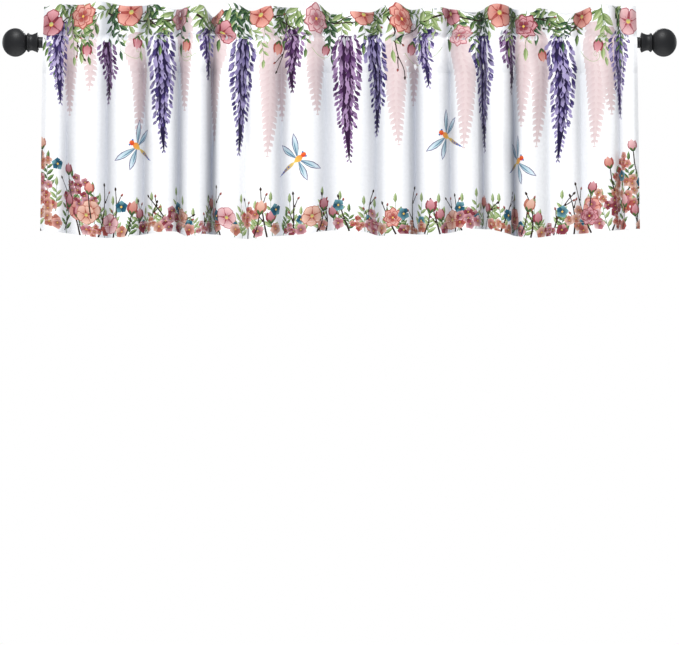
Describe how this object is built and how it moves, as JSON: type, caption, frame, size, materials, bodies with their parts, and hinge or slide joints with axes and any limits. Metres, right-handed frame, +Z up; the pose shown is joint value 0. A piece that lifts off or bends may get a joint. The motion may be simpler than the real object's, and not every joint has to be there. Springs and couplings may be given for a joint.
{
  "type": "window valance on curtain rod",
  "caption": "Gathered rod-pocket window valance with a printed floral border, on a slim black curtain rod with ball finials.",
  "frame": {"origin": "on the rod's axis, halfway along the rod", "axes": "+X along the rod, to the right seen from the front; the front of the cloth faces -Y, the wall is on the +Y side; +Z up"},
  "size_m": [1.3558, 0.0791, 0.4762],
  "materials": {
    "cloth": "thin plain-woven polyester, white ground with a printed floral border, slight sheen",
    "rod": "satin black coated steel tube",
    "finial": "satin black, soft highlight"
  },
  "bodies": {
    "root": {"valance_cloth": "cloth", "curtain_rod": "rod", "finial_neck_left": "finial", "finial_neck_right": "finial", "finial_ball_left": "finial", "finial_ball_right": "finial"}
  },
  "joints": []
}
